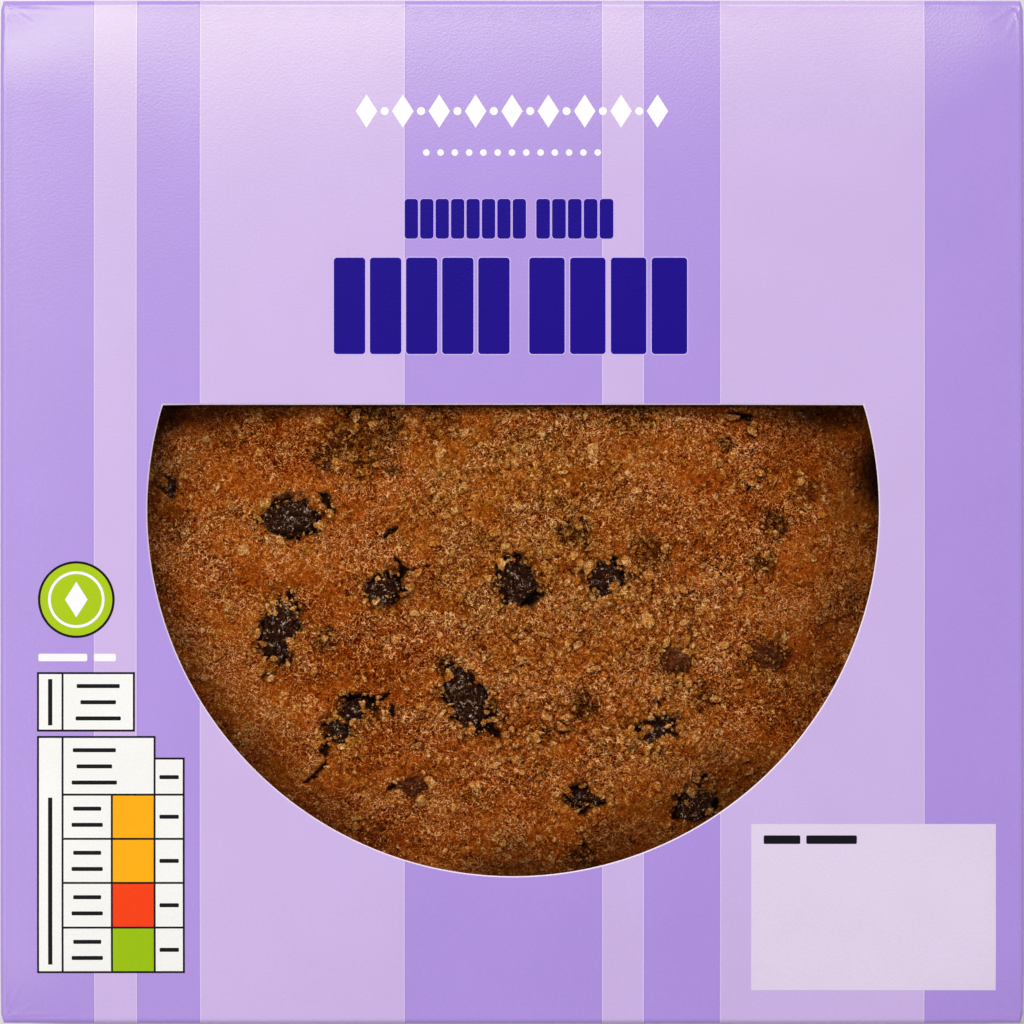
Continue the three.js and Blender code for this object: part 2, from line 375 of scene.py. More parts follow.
boardMaterials = [
    printedBoard("offset printed board dark lilac", "#AF90E0", 1.52),
    printedBoard("offset printed board light lilac", "#CCB2E6", 1.46),
    printedBoard("offset printed board ink gap", "#D9C3EE"),
    printedBoard("offset printed board ink overlap", "#A688DA"),
    rawBoard("pulp board inside", "#B9B2A8"),
    rawBoard("die cut board edge", "#F4E4F6"),
]


def edgeBow(x, y):  # how far the panel bows down near its creases
    bow = 0
    acrossReach, alongReach = board["bowReach"]
    alongReach = alongReach - board["cornerStiff"] * eased(np.abs(x), 62 * mm, 90 * mm)
    for side, drop, reach in zip((x, y), board["bowDrop"], (acrossReach, alongReach)):
        bow = bow + drop * np.clip(1 - (board["flat"] - np.abs(side)) / reach, 0, 1.03) ** 2.2
    across = board["halfWidth"] - np.abs(x)
    along = board["halfWidth"] - np.abs(y)
    fromCorner = np.hypot(across, along)
    turn = np.arctan2(along, across)
    ridges = (1 - np.abs(np.sin(turn * 6 + np.sin(turn * 11) + 2 * np.sign(x) + np.sign(y)))) ** 2
    near = eased(fromCorner, 0.8 * mm, 2 * mm) * (1 - eased(fromCorner, 3 * mm, 9 * mm))
    toCrease = np.minimum(np.abs(board["flat"] - np.abs(x)), np.abs(board["flat"] - np.abs(y)))
    bead = board["bead"] * np.clip(1 - toCrease / board["beadReach"], 0, 1)
    offPinch = np.abs(along - 1.3 * mm - 0.05 * across) / (0.55 * mm)
    pinch = board["pinch"] * np.clip(1 - offPinch, 0, 1) * (1 - eased(across, 3 * mm, 16 * mm))
    return bow + board["wrinkle"] * (0.6 - ridges) * near - bead - np.minimum(pinch, bow)


def panelHeight(x, y):
    return board["height"] - board["panelDrop"] - edgeBow(x, y)


def foldedUp(blank):  # places on the flat blank to the folded carton, with the way that faces out
    u, v = blank[:, 0], blank[:, 1]
    radius, flat = board["fold"], board["flat"]
    quarter = radius * math.pi / 2
    wall = board["height"] - 2 * radius
    along = np.abs(v)
    side = np.sign(v)
    firstTurn = np.clip((along - flat) / radius, 0, math.pi / 2)
    down = np.clip(along - flat - quarter, 0, wall)
    secondTurn = np.clip((along - flat - quarter - wall) / radius, 0, math.pi / 2)
    back = np.clip(along - flat - 2 * quarter - wall, 0, None)
    slack = 0.001 * mm
    onTop = along <= flat + slack
    onBase = along >= flat + 2 * quarter + wall - slack
    out = np.minimum(along, flat) + radius * np.sin(firstTurn)
    y = side * (out - radius * (1 - np.cos(secondTurn)) - back)
    z = board["height"] - radius * (1 - np.cos(firstTurn)) - down - radius * np.sin(secondTurn)
    turn = firstTurn + secondTurn
    normal = np.stack([np.zeros_like(u), side * np.sin(turn), np.cos(turn)], axis=1)
    # The end flaps turn down from the top and up from the base, which closes under them.
    inset = np.where(onBase, board["thickness"], 0)
    past = np.abs(u) - (flat - inset)
    aroundCorner = np.clip((along - flat) / radius, 0, board["cornerTurn"])
    webbed = (along > flat) & (along <= board["flapWidth"] + slack)
    flap = (onTop | onBase | webbed) & (past > 0)
    turn = np.clip(past / radius, 0, math.pi / 2) * flap
    straight = np.clip(past - quarter, 0, None) * flap
    web = np.where(flap & webbed, aroundCorner, 0)
    facing = np.stack([np.sin(turn) * np.cos(web), np.sin(web), np.cos(turn) * np.cos(web)], axis=1)
    x = np.where(flap, np.sign(u) * (flat - inset + radius * facing[:, 0]), u)
    y = np.where(flap & webbed, side * (flat + radius * facing[:, 1]), y)
    z = np.where(flap & ~onBase, board["height"] - radius * (1 - facing[:, 2]) - straight, z)
    z = np.where(flap & onBase, z + radius * (1 - np.cos(turn)) + straight, z)
    normal[:, 0] = np.where(flap, np.sign(u) * facing[:, 0], 0)
    normal[:, 1] = np.where(flap, side * facing[:, 1], normal[:, 1])
    normal[:, 2] = np.where(flap, np.where(onBase, -1, 1) * facing[:, 2], normal[:, 2])
    lowered = eased(z, board["height"] - 14 * mm, board["height"] - radius)
    z = z - lowered * (edgeBow(x, y) + board["panelDrop"])
    return np.stack([x, y, z], axis=1), normal


def windowOutline(grown, steps=220):
    radius = board["windowRadius"] + grown
    top = board["windowTop"] + grown - board["windowMiddle"][1]
    corner = math.asin(top / radius)
    angles = np.linspace(math.pi - corner, 2 * math.pi + corner, steps)
    return board["windowMiddle"] + radius * np.stack([np.cos(angles), np.sin(angles)], axis=1)


def makeCarton():
    radius, flat = board["fold"], board["flat"]
    quarter = radius * math.pi / 2
    wall = board["height"] - 2 * radius
    sideEdge = board["halfWidth"] - board["thickness"]
    farEnd = flat + 2 * quarter + wall + 2 * flat + board["seamLap"]
    nearEnd = -(flat + quarter + wall + radius - board["seam"])
    strip = rectangle(-sideEdge, nearEnd, sideEdge, farEnd)
    topReach = flat + quarter + board["height"] - radius - board["flapLift"]
    flapWidth, flapCorner = board["flapWidth"], board["flapCorner"]
    topFlaps = roundedRectangle(-topReach, -flapWidth, topReach, flapWidth, flapCorner)
    baseMiddle = flat + 2 * quarter + wall + flat
    baseReach = flat + quarter + board["height"] * board["baseFlapReach"]
    baseSides = baseMiddle - flat, baseMiddle + flat - board["baseFlapShort"]
    baseFlaps = roundedRectangle(-baseReach, baseSides[0], baseReach, baseSides[1], flapCorner)
    sheet = [walked(outline, board["sheetStep"]) for outline in (strip, topFlaps, baseFlaps)]
    window = windowOutline(board["cutSlope"])
    # Lines that the triangles follow: the stripes' edges and each crease.
    lines = [
        [(border * mm + shift * board["stripeLap"], y) for y in (nearEnd, farEnd)]
        for border in board["stripes"] for shift in (-1, 0, 1)
    ]
    steps = quarter * np.arange(board["foldSteps"] + 1) / board["foldSteps"]
    bead = flat - board["beadReach"]
    for y in (*(-flat - steps), *(flat + steps), *(flat + quarter + wall + steps), bead, -bead):
        lines.append([(-sideEdge, y), (sideEdge, y)])
    lines += [[(x, -flat), (x, flat)] for x in (-bead, bead)]
    for sign, step in itertools.product((-1, 1), steps):
        lines.append([(sign * (flat + step), y) for y in (-flapWidth, flapWidth)])
        lines.append([(sign * (flat - board["thickness"] + step), y) for y in baseSides])
    lines = [walked(np.array(line), board["sheetStep"]) for line in lines]
    # Loose points carry the bow of the panel.
    bowStart, cornerStart = flat - board["bowReach"][1], flat - board["cornerReach"]
    fine = np.concatenate([
        np.arange(0, bowStart - 2 * mm, board["middleStep"]), np.arange(bowStart, flat, board["sheetStep"]),
    ])
    fine = np.unique(np.concatenate([-fine, fine]))
    grid = gridOf(fine, fine)
    corner = np.arange(cornerStart, flat, board["cornerStep"])
    corner = gridOf(corner, corner)
    grid = grid[np.min(np.abs(grid), axis=1) < cornerStart - 0.5 * mm]
    grid = np.concatenate([grid] + [corner * signs for signs in itertools.product((-1, 1), repeat=2)])
    grid = grid[~insideOutline(window, grid)]

    def onBoard(middles):
        onSheet = np.any([insideOutline(outline, middles) for outline in sheet], axis=0)
        return onSheet & ~insideOutline(window, middles)

    flatPlaces, faces, middles = triangulated(sheet + [window] + lines, grid, onBoard)
    outer, normal = foldedUp(flatPlaces)
    inner = outer - normal * board["thickness"]
    # The window's cut edge slopes inwards, and the die squeezed it thin.
    fromMiddle = flatPlaces - board["windowMiddle"]
    away = np.hypot(*fromMiddle.T)
    cutRadius = board["windowRadius"] + board["cutSlope"]
    cutTop = board["windowTop"] + board["cutSlope"]
    near = 0.02 * mm
    onArc = (np.abs(away - cutRadius) < near) & (flatPlaces[:, 1] < cutTop + near)
    onStraight = (np.abs(flatPlaces[:, 1] - cutTop) < near) & (away < cutRadius + near)
    inward = -fromMiddle / np.maximum(away, 1e-9)[:, None]
    inner[onArc, :2] += inward[onArc] * board["cutSlope"]
    inner[onStraight, 1] -= board["cutSlope"]
    onCut = onArc | onStraight
    inner[onCut, 2] = outer[onCut, 2] - board["cutThickness"]
    places, allFaces, kind = thickened(outer, faces, inner)
    borders = np.array(board["stripes"]) * mm
    stripe = np.searchsorted(borders, middles[:, 0]) % 2
    onLap = np.min(np.abs(middles[:, :1] - borders), axis=1) < board["stripeLap"]
    # Where two inks meet, a thin pale line shows beside the dark stripe and a thin darker one in it.
    look = np.where(onLap, np.where(stripe == 1, 2, 3), stripe)
    look = np.where(np.abs(middles[:, 0]) > sideEdge, 0, look)
    faceMaterials = np.concatenate([look, np.full(len(faces), 4), np.full((kind == 2).sum(), 5)])
    return makePiece(
        "foldedCarton", places, allFaces, boardMaterials, faceMaterials, sharpFrom=28,
    )


carton = makeCarton()
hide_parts("carton")
print("carton is folded")


# Print on the top panel: fields of colour and simple shapes

inks = {
    "indigo": "#1E0A88", "white": "#F8F4FA", "pale": "#CDB9F2", "black": "#1A1620", "cell": "#F4F2F0",
    "amber": "#FCAB05", "red": "#F5340B", "green": "#97BE03", "badge": "#A7C509", "date": "#E2D2EC",
}
# The dark inks dried matt over the varnish.
inkMaterials = {
    name: printedBoard("offset ink " + name, colour, ior=1.18 if name in ("indigo", "black") else 1.49)
    for name, colour in inks.items()
}
inkHeight = 0.025 * mm


def printOn(name, shapes):  # shapes: (ink, outline in mm), later ones cover earlier ones
    outlines = [walked(np.asarray(outline) * mm, 2 * mm) for _, outline in shapes]
    names = sorted({name for name, _ in shapes})

    def inkAt(middles):
        ink = np.full(len(middles), -1)
        for (inkName, _), outline in zip(shapes, outlines):
            ink[insideOutline(outline, middles)] = names.index(inkName)
        return ink

    low = np.min([outline.min(axis=0) for outline in outlines], axis=0)
    high = np.max([outline.max(axis=0) for outline in outlines], axis=0)
    grid = gridOf(*[np.arange(low[i] + 0.7 * mm, high[i], board["sheetStep"]) for i in (0, 1)])
    flatPlaces, faces, middles = triangulated(outlines, grid, lambda middles: inkAt(middles) >= 0)
    ink = inkAt(middles)
    ground = panelHeight(flatPlaces[:, 0], flatPlaces[:, 1])
    outer, inner = [np.column_stack([flatPlaces, ground + share * inkHeight]) for share in (1, 0.2)]
    places, allFaces, kind = thickened(outer, faces, inner)
    faceMaterials = np.concatenate([ink, ink, np.full((kind == 2).sum(), ink[0])])
    materials = [inkMaterials[name] for name in names]
    return makePiece(name, places, allFaces, materials, faceMaterials, sharpFrom=40)


def blocksIn(left, right, bottom, top, outline):  # a word's place as a row of upright blocks
    height = top - bottom
    count = round((right - left) / (0.4 * height))
    pitch = (right - left) / count
    gap = 0.13 * pitch
    shapes = []
    for i in range(count):
        x = left + i * pitch
        ends = (x + gap / 2, bottom, x + pitch - gap / 2, top)
        grown = (ends[0] - outline, ends[1] - outline, ends[2] + outline, ends[3] + outline)
        shapes.append(("pale", roundedRectangle(*grown, 0.6 + outline)))
        shapes.append(("indigo", roundedRectangle(*ends, 0.6)))
    return shapes


def lozenge(x, y, halfWide, halfTall):
    return np.array([(x - halfWide, y), (x, y - halfTall), (x + halfWide, y), (x, y + halfTall)])


# Words: left, right, bottom, top and outline in mm.
titleWords = [
    (-20.1, 2.8, 50.7, 58.1, 0.12), (4.3, 19, 50.7, 58.1, 0.12),
    (-33.5, 0, 29.3, 47.2, 0.18), (2.7, 33, 29.3, 47.2, 0.18),
]
printOn("titleBlocks", [block for word in titleWords for block in blocksIn(*word)])

ornament = {
    "middle": 74.4, "halfWidth": 29, "lozenges": 9, "halfTall": 3.1, "halfWide": 2, "dotRadius": 0.75,
    "smallDots": 13, "smallFrom": -15.9, "smallPitch": 2.65, "smallMiddle": 66.7, "smallRadius": 0.62,
}
ornamentShapes = []
pitch = 2 * (ornament["halfWidth"] - ornament["halfWide"]) / (ornament["lozenges"] - 1)
for i in range(ornament["lozenges"]):
    x = ornament["halfWide"] - ornament["halfWidth"] + i * pitch
    ornamentShapes.append(lozenge(x, ornament["middle"], ornament["halfWide"], ornament["halfTall"]))
    if i:
        ornamentShapes.append(circle(x - pitch / 2, ornament["middle"], ornament["dotRadius"], 24))
for i in range(ornament["smallDots"]):
    x = ornament["smallFrom"] + i * ornament["smallPitch"]
    ornamentShapes.append(circle(x, ornament["smallMiddle"], ornament["smallRadius"], 20))
printOn("whiteOrnament", [("white", shape) for shape in ornamentShapes])

mark = {
    "middle": (-80.85, -16.25),
    "rings": [("black", 7.13), ("badge", 6.68), ("white", 5.25), ("badge", 4.75)],
}
markShapes = [(ink, circle(*mark["middle"], radius)) for ink, radius in mark["rings"]]
printOn("greenMark", markShapes + [("white", lozenge(*mark["middle"], 2.1, 3.3))])

printOn("servingBars", [
    ("white", roundedRectangle(start, -27.7, end, -26.3, 0.3))
    for start, end in ((-87.9, -78.8), (-77.6, -73.5))
])

table = {
    # Edges of the upright bar, the names, the colours and the shares.
    "columns": (-87.96, -83.4, -74.25, -66.32, -60.92),
    "rows": [-41.75, -52.45, -60.65, -68.83, -77.13, -85.42], "sharesTop": -45.75,
    "upper": (-29.9, -40.56), "upperRight": -70.16, "upright": (-86.1, -85.3), "line": 0.38,
    "fills": ["amber", "amber", "red", "green"],
    "heading": (8, 6.6, 8.4), "barThick": 0.75, "barPitch": 3,
}


def cell(left, bottom, right, top, fill="cell"):  # a field of colour with its black frame
    inset = table["line"] / 2
    return [
        ("black", rectangle(left - inset, bottom - inset, right + inset, top + inset)),
        (fill, rectangle(left + inset, bottom + inset, right - inset, top - inset)),
    ]


def bars(x, y, lengths):  # short dark bars, centred under each other
    half = table["barThick"] / 2
    shapes = []
    for i, length in enumerate(lengths):
        level = y - i * table["barPitch"]
        ends = (x - length / 2, level - half, x + length / 2, level + half)
        shapes.append(("black", roundedRectangle(*ends, 0.2)))
    return shapes


left, divider, colours, shares, right = table["columns"]
rows = table["rows"]
upperTop, upperFoot = table["upper"]
uprightLeft, uprightRight = table["upright"]
upperRight = table["upperRight"]
tableShapes = cell(left, upperFoot, divider, upperTop) + cell(divider, upperFoot, upperRight, upperTop)
tableShapes += bars((divider + upperRight) / 2, -32.3, table["heading"])
tableShapes.append(("black", rectangle(uprightLeft, -39.6, uprightRight, -31)))
tableShapes += cell(left, rows[-1], divider, rows[0])
tableShapes.append(("black", rectangle(uprightLeft, -84, uprightRight, -53)))
tableShapes += cell(divider, rows[1], shares, rows[0]) + bars(-77.5, -44.2, table["heading"])
tableShapes += cell(shares, rows[1], right, table["sharesTop"]) + bars((shares + right) / 2, -49.2, (3.6,))
for top, bottom, fill in zip(rows[1:], rows[2:], table["fills"]):
    middle = (top + bottom) / 2
    tableShapes += cell(divider, bottom, colours, top) + cell(colours, bottom, shares, top, fill)
    tableShapes += cell(shares, bottom, right, top) + bars((divider + colours) / 2, middle + 1.5, (5.2, 5.8))
    tableShapes += bars((shares + right) / 2, middle, (3.6,))
printOn("energyTable", tableShapes)

printOn("dateField", [
    ("date", rectangle(44.4, -88.8, 89.8, -57.9)),
    ("black", roundedRectangle(46.7, -61.6, 53.5, -60, 0.25)),
    ("black", roundedRectangle(54.6, -61.6, 64, -60, 0.25)),
])
print("top panel is printed")


# Window film

film, add = newMaterial("cast polypropylene film")
# Clear polypropylene film: it shows only where it mirrors a lamp or the room at a low angle.
shine = add("BsdfGlossy", {"Color": (1, 1, 1, 1), "Roughness": 0.08})
clear = add("BsdfTransparent", {"Color": (1, 1, 1, 1)})
edgeOn = add("Fresnel", {"IOR": 1.3})
# Only the side that the light meets first mirrors it.
outside = add("Math", [1.0, add("NewGeometry", output="Backfacing")], operation="SUBTRACT")
share = add("Math", [edgeOn, outside], operation="MULTIPLY")
add("OutputMaterial", [add("MixShader", [share, clear, shine])])
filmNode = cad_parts["window_film"]
filmNode.data.materials.clear()
filmNode.data.materials.append(film)
print("film is in")


# Cake

crust = {
    "radius": 86 * mm, "peak": 58.3 * mm, "domeDrop": 15 * mm, "domePower": 2.4,
    "shoulder": 9 * mm, "taper": 1.5 * mm, "foot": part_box("cake")[0][2], "footRadius": 2.5 * mm,
    "uneven": (0.9 * mm, 19 * mm), "crags": (0.5 * mm, 6.5 * mm),  # height, spacing
    "rimSwell": 0.6 * mm, "rimWaves": 5,
    "pitDepth": 1 * mm, "pitReach": 2.2 * mm,
    "fruitHollow": 2.6 * mm,  # the crust dips this far under a fruit
    "buried": ("sultana_1", "sultana_2", "sultana_3", "raisin_12"),  # these only just break through the crust
    "buriedShare": 0.35,  # of the hollow, the pit and the torn crumb round other fruit
    "trench": 1.6 * mm,  # where the crumb drew back from a fruit
    # Towards the side of the tin the crust browns, and at the window's edge this darkening is painted shade
    # from the board.
    "rimStart": 66 * mm, "rimEnd": 76 * mm,  # the crust browns towards the side of the tin
    "moat": 0.7 * mm,  # depth of the crack round a large crumb
    "flake": 1.9 * mm, "crumb": 0.95 * mm,  # sizes of broken crumb
    "fineSpacing": 0.4 * mm, "coarseSpacing": 1.3 * mm, "fineMargin": 2.5 * mm,
    "around": 400, "shoulderSteps": 9, "sideSteps": 16, "footSteps": 4,
}
# Splits in the crust: x, y and half width of each point in mm, and the depth.
splits = [
    ([(-21.8, -3.5, 0.2), (-23.2, -4, 0.65), (-23.7, -5.1, 0.35)], 2.6),
    ([(-21.9, -8.2, 0.2), (-21.2, -9.4, 0.5), (-20.5, -10.9, 0.75), (-20.9, -12.3, 0.5),
      (-21.5, -13.6, 0.7), (-22.3, -14.4, 0.4)], 2.6),
    ([(-20.3, -10.9, 0.5), (-18.7, -11.2, 0.3), (-17.5, -11.1, 0.25), (-15.8, -10.1, 0.2)], 1.8),
    ([(-35.2, 3, 0.5), (-34.3, 1.7, 0.9), (-33.5, 0.4, 0.5)], 2),
    ([(-22.4, -33.3, 0.15), (-24, -34, 0.5), (-26.2, -34.9, 0.7), (-29.1, -35.4, 0.5),
      (-31.2, -35.3, 0.2)], 2.2),
    ([(-33.4, -39.6, 0.4), (-36, -40, 0.25)], 1.6),
    ([(-34.9, -42.4, 0.4), (-35, -44.6, 0.7), (-34.8, -45.8, 0.4)], 2.2),
    ([(-34.6, -47, 0.4), (-36.4, -48.6, 0.4), (-37.6, -49.9, 0.55), (-38.9, -50.6, 0.3)], 1.8),
    ([(-22.4, -36.4, 0.45), (-22.4, -38, 0.35)], 1.8), ([(-21.8, -51, 0.6), (-23.2, -52, 0.3)], 1.6),
    ([(11.4, -53, 0.3), (13.8, -53.6, 0.5), (17, -54.6, 0.3)], 1.8),
    ([(42.6, 18.3, 0.5), (44.4, 17.6, 0.7)], 2),
    ([(-4.6, -38.8, 0.5), (-3.2, -40.6, 0.9), (-1.9, -42.3, 0.5)], 2.4),
    ([(44.5, 11.5, 0.15), (46.4, 11.9, 0.2)], 1.4), ([(44.2, 4.4, 0.2), (46.2, 5.4, 0.35)], 1.6),
    ([(33.4, -54, 0.9), (30.8, -57.4, 0.8)], 2.4), ([(36.6, -49.8, 0.4), (35.6, -50.6, 0.4)], 1.8),
]
# Large toasted crumbs: x, y, length and width in mm, turn in degrees.
largeCrumbs = [
    (41.5, 17.7, 2.6, 1.6, -5), (45, 15, 2.6, 1.6, -60), (46.3, 7.4, 2.2, 1.4, -20),
    (-34.5, -38.7, 2.5, 1.4, 10), (-7.5, -40.8, 2.2, 1.8, 70), (9.3, -40.2, 2.8, 1.6, -20),
    (-17.7, -43.6, 2, 1.4, 0), (5, -49.7, 1.9, 1.4, 20), (0.7, -46.2, 2.4, 1.6, -10),
    (15.2, -29.4, 2.2, 1.6, 0), (-0.6, -38.8, 2, 1.4, 20), (14.8, -6.7, 2.4, 1.8, 30),
    (12.2, -10.7, 2, 1.6, 0), (17.6, -15.9, 2.2, 1.4, 10), (32.8, -23.4, 1, 2.8, -15),
    (21.9, -31.2, 2.6, 1.8, 30), (-34.1, 0, 2.2, 1.4, 30), (-29.3, 18, 2.4, 1.4, 50),
    (-27.8, 7.6, 2.2, 1.6, 10), (-22.6, -11.2, 1.4, 2.2, 20), (34, -52, 2.6, 2, 30),
    (37, -56, 2.2, 1.6, 40), (32.6, -54.6, 1.4, 1.2, 0), (26.6, -36.6, 1.3, 2.2, -30),
]
# Places with a look of their own: x, y, radius in mm and strength.
goldenZones = [(19, -25, 29, 1), (4, -33, 20, 0.85), (2, 10, 26, 0.6), (38, -8, 20, 0.25), (-8, -16, 12, 0.5)]
ochreZones = [(2, -2, 24, 0.55), (5, 15, 26, 0.35), (19, -25, 29, 0.25), (-8, -16, 12, 0.3)]
# Browning by the side of the tin, and painted shade where the board shades the crust by the window's edges:
# most of both shows on the right and at the foot of the window.
browningAndShadeZones = [
    (74, 7, 13, 1), (78, 6, 22, 0.6), (58, 26, 15, 0.7), (76, -28, 30, 0.4), (2, -77, 18, 0.65),
    (24, -73, 20, 0.65), (44, -62, 20, 0.62), (-40, -65, 17, 0.42), (-54, -52, 17, 0.45),
    (-70, -38, 20, 0.35), (-78, 8, 20, 0.2), (-58, 24, 12, 0.55), (-44, 25, 9, 0.45),
]
duskyZones = [
    (-23, -25, 10, 1.2), (-27, -16, 7, 0.6), (-22.6, -35, 8, 0.7), (-36, -34, 7, 0.7), (-27, -43, 7, 0.8),
    (44, -34, 10, 0.9), (40, -8, 9, 0.7), (-22.6, -61, 7, 0.9), (-40.4, 10.4, 9, 0.7), (-40, -17, 7, 0.6),
    (-5, -22, 8, 0.5),
]
darkPatches = [
    (-27.9, 14.2, 8, 0.75), (-23.1, 16.1, 3.6, 1), (-30.6, 14, 2, 1), (-26, 12.2, 2.4, 1),
    (-34.3, 10.1, 2.6, 0.9), (-22.4, 7.5, 2, 0.9), (-25.4, 18.8, 2.2, 1), (-13, 17, 4, 0.5),
    (11.7, -3.7, 3.4, 0.9), (26.1, -7.5, 4.2, 0.7), (49.2, -2.6, 3.2, 0.9), (46.8, -9, 3, 0.8),
    (13.8, -36.1, 3.2, 0.9), (-34.6, -23.8, 3, 0.7), (55, 4, 3.5, 0.5), (-62, -2, 3.5, 0.4),
    (22, 19, 5, 0.5), (36, -34, 3, 0.6), (39.7, 12.8, 1.6, 0.9), (13.4, -64.5, 3, 0.7),
]


def cadNoise(x, y, seed):  # the slow rise and fall that the cake's solid has too
    cellX, cellY = np.floor(x), np.floor(y)

    def corner(i, j):
        wave = np.sin((cellX + i) * 127.1 + (cellY + j) * 311.7 + seed * 74.7) * 43758.5453
        return 2 * (wave - np.floor(wave)) - 1

    u = (x - cellX) ** 2 * (3 - 2 * (x - cellX))
    v = (y - cellY) ** 2 * (3 - 2 * (y - cellY))
    near = corner(0, 0) * (1 - u) + corner(1, 0) * u
    far = corner(0, 1) * (1 - u) + corner(1, 1) * u
    return near * (1 - v) + far * v


def splitReach(points, line):  # distance from a split's middle line, in half widths of the split
    nearest = np.full(len(points), 9.0)
    for (ax, ay, startWidth), (bx, by, endWidth) in zip(line, line[1:]):
        start, step = np.array([ax, ay]) * mm, np.array([bx - ax, by - ay]) * mm
        share = np.clip((points - start) @ step / (step @ step), 0, 1)
        width = (startWidth + (endWidth - startWidth) * share) * mm
        nearest = np.minimum(nearest, np.linalg.norm(points - start - share[:, None] * step, axis=1) / width)
    return nearest


def crumbDistance(points, crumb):  # how far outside a large crumb's outline, below 0 inside it
    x, y, length, width, turn = crumb
    angle = math.radians(turn)
    local = points - np.array([x, y]) * mm
    along = local @ (math.cos(angle), math.sin(angle)) / (length / 2 * mm)
    across = local @ (-math.sin(angle), math.cos(angle)) / (width / 2 * mm)
    return (np.hypot(along, across) - 1) * min(length, width) / 2 * mm


def measuredFruit(name):  # place, turn and half sizes of a fruit, from its solid
    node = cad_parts[name]
    places = np.array([node.matrix_world @ vertex.co for vertex in node.data.vertices])
    middle = (places.min(axis=0) + places.max(axis=0)) / 2
    flat = places[:, :2] - middle[:2]
    _, axes = np.linalg.eigh(flat.T @ flat)
    along = axes[:, 1]
    across = np.array([-along[1], along[0]])
    return {
        "name": name, "middle": middle, "along": along, "across": across,
        "half": np.array([np.abs(flat @ along).max(), np.abs(flat @ across).max(), np.ptp(places[:, 2]) / 2]),
    }


fruitNames = sorted(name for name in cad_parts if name.startswith(("raisin_", "sultana_")))
fruits = [measuredFruit(name) for name in fruitNames]


def overFruit(points, fruit):  # places along and across a fruit, in its half sizes
    local = points - fruit["middle"][:2]
    return local @ fruit["along"] / fruit["half"][0], local @ fruit["across"] / fruit["half"][1]


def fruitDistance(points, fruit):  # how far outside a fruit's outline, below 0 inside it
    return (np.hypot(*overFruit(points, fruit)) - 1) * fruit["half"][1]


def zoneWeight(points, zones):
    weight = np.zeros(len(points))
    for x, y, radius, strength in zones:
        distance = np.linalg.norm(points - np.array([x, y]) * mm, axis=1) / (radius * mm)
        weight = np.maximum(weight, strength * (1 - eased(distance, 0.45, 1.25)))
    return weight


